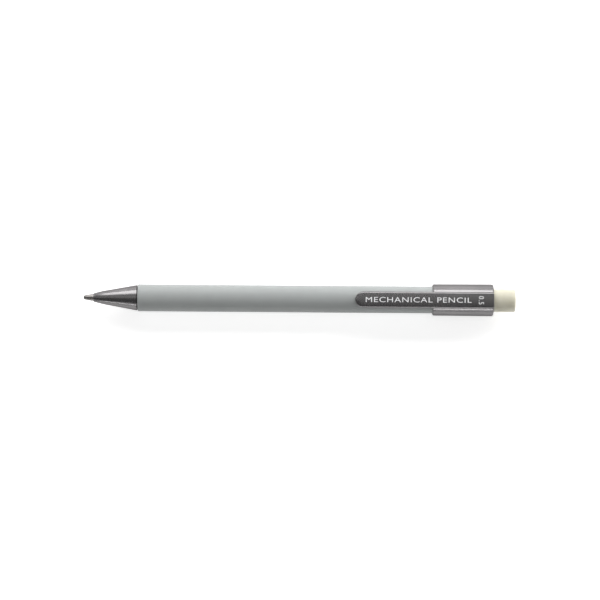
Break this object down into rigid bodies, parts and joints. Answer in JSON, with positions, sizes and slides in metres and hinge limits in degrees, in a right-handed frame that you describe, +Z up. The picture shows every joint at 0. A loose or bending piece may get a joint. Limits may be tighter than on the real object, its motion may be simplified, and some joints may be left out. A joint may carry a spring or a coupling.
{
  "type": "mechanical pencil",
  "caption": "Push-button mechanical pencil: round soft-coated barrel, metal-look cone with retractable sleeve, collar with pocket clip, and a thick eraser as the button.",
  "frame": {"origin": "on the ground plane, under the middle of the pencil's length, where the collar rests", "axes": "+X along the pencil from nozzle to eraser, +Z up through the pocket clip, +Y across"},
  "size_m": [0.142, 0.0104, 0.0117],
  "materials": {
    "soft_coating": "light grey soft-touch coating over plastic, satin",
    "metallised_plastic": "dark grey metallic plastic, satin",
    "nozzle_metal": "turned and nickel plated, bright",
    "retainer_rubber": "black rubber, matte",
    "graphite": "polymer-bound graphite, dull sheen",
    "brass": "turned brass, bright",
    "white_plastic": "natural acetal, satin",
    "spring_steel": "drawn wire, bright",
    "tank_plastic": "natural polypropylene tube, semi-gloss",
    "dark_plastic": "moulded, fine satin",
    "eraser_vinyl": "ivory soft vinyl, matte"
  },
  "bodies": {
    "barrel": {"barrel": "soft_coating", "clip_collar": "metallised_plastic", "cushion_spring": "spring_steel"},
    "clip_arm": {"pocket_clip": "metallised_plastic"},
    "cone": {"front_cone": "metallised_plastic"},
    "nozzle": {"nozzle": "nozzle_metal", "lead_retainer": "retainer_rubber"},
    "mechanism": {"clutch_sleeve": "white_plastic", "chuck_spring": "spring_steel"},
    "plunger": {"chuck_stem": "brass", "lead_tank": "tank_plastic", "eraser_holder": "dark_plastic", "spare_lead_1": "graphite", "spare_lead_2": "graphite", "spare_lead_3": "graphite"},
    "jaw_1": {"chuck_jaw_1": "brass"},
    "jaw_2": {"chuck_jaw_2": "brass"},
    "jaw_3": {"chuck_jaw_3": "brass"},
    "ring": {"clutch_ring": "brass"},
    "lead": {"lead": "graphite"},
    "eraser": {"eraser": "eraser_vinyl"}
  },
  "joints": [
    {"name": "clip_flex", "type": "hinge", "parent": "barrel", "child": "clip_arm", "pos_m": [0.04376, 0, 0.01175], "axis": [0, 1, 0], "range_deg": [0, 5], "stiffness_Nm_per_rad": 0.6, "springref_deg": -1.15},
    {"name": "cone_unscrew", "type": "slide", "parent": "barrel", "child": "cone", "axis": [-1, 0, 0], "range_m": [0, 0.025]},
    {"name": "nozzle_retract", "type": "slide", "parent": "cone", "child": "nozzle", "axis": [1, 0, 0], "range_m": [0, 0.003]},
    {"name": "lead_cushion", "type": "slide", "parent": "barrel", "child": "mechanism", "axis": [1, 0, 0], "range_m": [0, 0.0006], "stiffness_N_per_m": 1500, "springref_m": -0.004, "deforming": ["cushion_spring"]},
    {"name": "button_press", "type": "slide", "parent": "mechanism", "child": "plunger", "axis": [-1, 0, 0], "range_m": [0, 0.0032], "stiffness_N_per_m": 400, "springref_m": -0.008, "deforming": ["chuck_spring"]},
    {"name": "clutch_ring_travel", "type": "slide", "parent": "mechanism", "child": "ring", "axis": [-1, 0, 0], "range_m": [0, 0.0008]},
    {"name": "jaw_1_open", "type": "hinge", "parent": "plunger", "child": "jaw_1", "pos_m": [-0.041, 0, 0.00635], "axis": [0, 1, 0], "range_deg": [0, 1.4]},
    {"name": "jaw_2_open", "type": "hinge", "parent": "plunger", "child": "jaw_2", "pos_m": [-0.041, -0.00095, 0.0047], "axis": [0, -0.5, 0.866], "range_deg": [0, 1.4]},
    {"name": "jaw_3_open", "type": "hinge", "parent": "plunger", "child": "jaw_3", "pos_m": [-0.041, 0.00095, 0.0047], "axis": [0, -0.5, -0.866], "range_deg": [0, 1.4]},
    {"name": "lead_feed", "type": "slide", "parent": "ring", "child": "lead", "axis": [-1, 0, 0], "range_m": [0, 0.006]},
    {"name": "eraser_pull", "type": "slide", "parent": "plunger", "child": "eraser", "axis": [1, 0, 0], "range_m": [0, 0.012]}
  ],
  "couplings": [
    {"joint": "clutch_ring_travel", "follows": "button_press", "ratio": 0.25},
    {"joint": "jaw_1_open", "follows": "button_press", "rad_per_m": 7.63},
    {"joint": "jaw_2_open", "follows": "button_press", "rad_per_m": 7.63},
    {"joint": "jaw_3_open", "follows": "button_press", "rad_per_m": 7.63}
  ]
}
